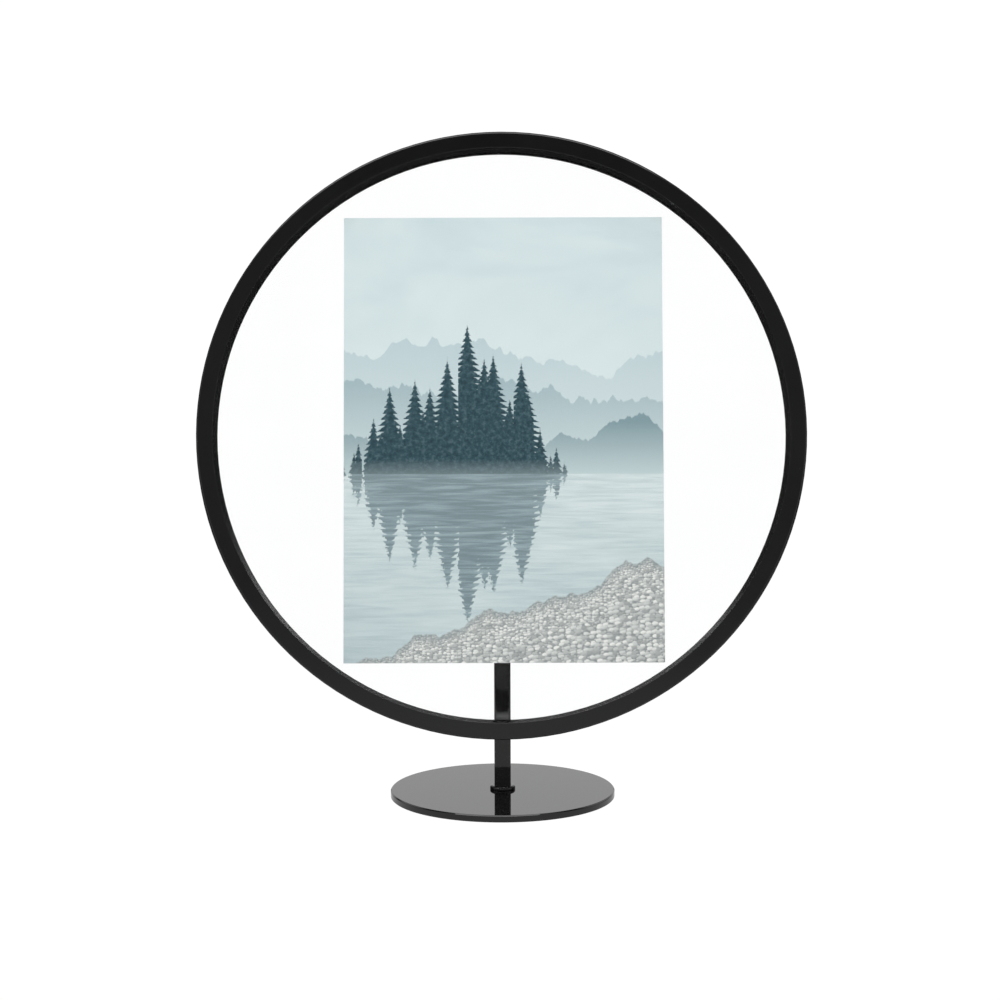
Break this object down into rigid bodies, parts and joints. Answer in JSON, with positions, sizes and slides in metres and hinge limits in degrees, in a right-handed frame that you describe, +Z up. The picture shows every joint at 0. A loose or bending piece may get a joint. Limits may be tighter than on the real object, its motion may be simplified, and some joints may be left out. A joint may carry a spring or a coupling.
{
  "type": "round photo frame",
  "caption": "Round two-pane photo frame in a slim black rim that leans back on a tilting hub at the top of an upright post on a round disc base.",
  "frame": {"origin": "on the floor, under the centre of the base disc", "axes": "+Z up, front of the frame faces -Y, +X to the right as seen from the front"},
  "size_m": [0.242, 0.0908, 0.2679],
  "materials": {
    "gloss_black": "high-gloss black lacquer on steel",
    "rim_black": "semi-gloss black lacquer on steel",
    "hub_black": "satin black lacquer",
    "steel": "zinc-plated steel",
    "washer": "black nylon",
    "glass": "clear float glass with ground edge",
    "bond": "clear adhesive film",
    "cushion": "black closed-cell foam",
    "magnet": "nickel-plated",
    "print": "photo paper, lustre",
    "pad": "black foam"
  },
  "bodies": {
    "base": {"base_disc": "gloss_black", "base_pad": "pad", "base_screw": "steel", "foot_collar": "gloss_black", "post": "gloss_black"},
    "frame": {"hub_plate": "hub_black", "bond_film": "bond", "tilt_bolt": "steel", "tilt_nut": "steel", "tilt_washers": "washer", "rear_glass": "glass", "rear_rim": "rim_black", "rear_cushion": "cushion", "rear_magnets": "magnet", "locating_pins": "steel", "photo_print": "print"},
    "front": {"front_rim": "rim_black", "front_glass": "glass", "front_cushion": "cushion", "front_magnets": "magnet"}
  },
  "joints": [
    {"name": "tilt", "type": "hinge", "parent": "base", "child": "frame", "pos_m": [0, 0, 0.1474], "axis": [-1, 0, 0], "range_deg": [-10, 17.5]},
    {"name": "front_lift", "type": "slide", "parent": "frame", "child": "front", "axis": [0, -0.9763, 0.2164], "range_m": [0, 0.06]}
  ]
}
